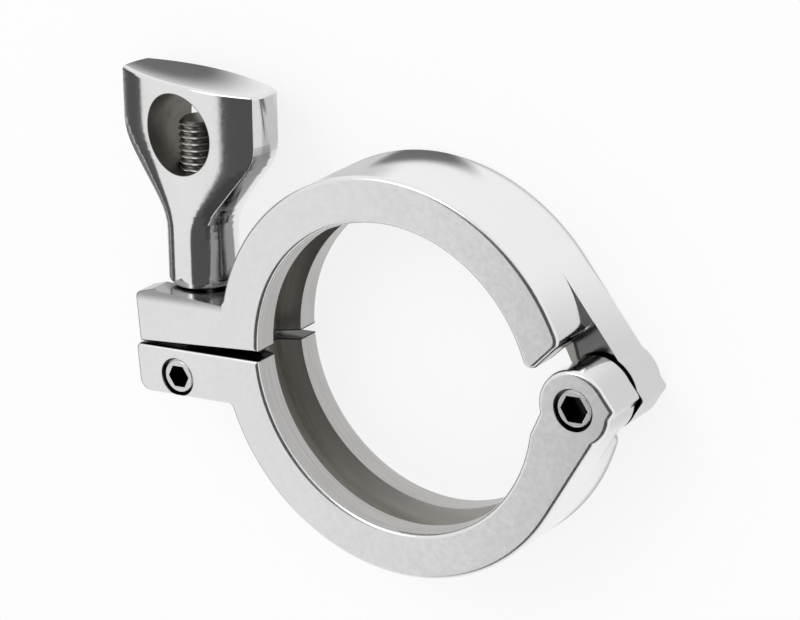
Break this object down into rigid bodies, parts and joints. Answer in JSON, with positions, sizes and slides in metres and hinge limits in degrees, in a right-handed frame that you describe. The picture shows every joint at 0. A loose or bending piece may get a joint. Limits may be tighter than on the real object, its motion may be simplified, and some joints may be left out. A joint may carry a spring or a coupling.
{
  "type": "sanitary hinged clamp",
  "caption": "Single-pin hinged pipe clamp in cast stainless steel: two grooved half rings closed by a swing bolt and a wing nut.",
  "frame": {"origin": "the centre of the ring: on its axis, halfway between its two faces", "axes": "+Z along the ring's axis towards the front face, +X towards the hinge pin, +Y towards the wing nut's side"},
  "size_m": [0.1059, 0.0877, 0.0186],
  "materials": {
    "jaw_casting": "satin",
    "nut_polish": "polished",
    "bolt_steel": "satin",
    "pin_steel": "satin"
  },
  "bodies": {
    "lower_jaw": {"lower_jaw": "jaw_casting", "hinge_pin": "pin_steel", "bolt_pivot_pin": "pin_steel"},
    "upper_jaw": {"upper_jaw": "jaw_casting"},
    "swing_bolt": {"swing_bolt": "bolt_steel"},
    "wing_nut": {"wing_nut": "nut_polish"}
  },
  "joints": [
    {"name": "bolt_swing", "type": "hinge", "parent": "lower_jaw", "child": "swing_bolt", "pos_m": [-0.0478, -0.0058, 0], "axis": [0, 0, 1], "range_deg": [0, 110]},
    {"name": "nut_travel", "type": "slide", "parent": "swing_bolt", "child": "wing_nut", "axis": [0.0802, 0.9968, 0], "range_m": [0, 0.022]},
    {"name": "jaw_open", "type": "hinge", "parent": "lower_jaw", "child": "upper_jaw", "pos_m": [0.0374, 0, 0], "axis": [0, 0, -1], "range_deg": [0, 120]}
  ],
  "couplings": [
    {"joint": "nut_travel", "follows": "bolt_swing", "m_per_rad": 0.0114},
    {"joint": "jaw_open", "follows": "bolt_swing", "ratio": 0.04}
  ]
}
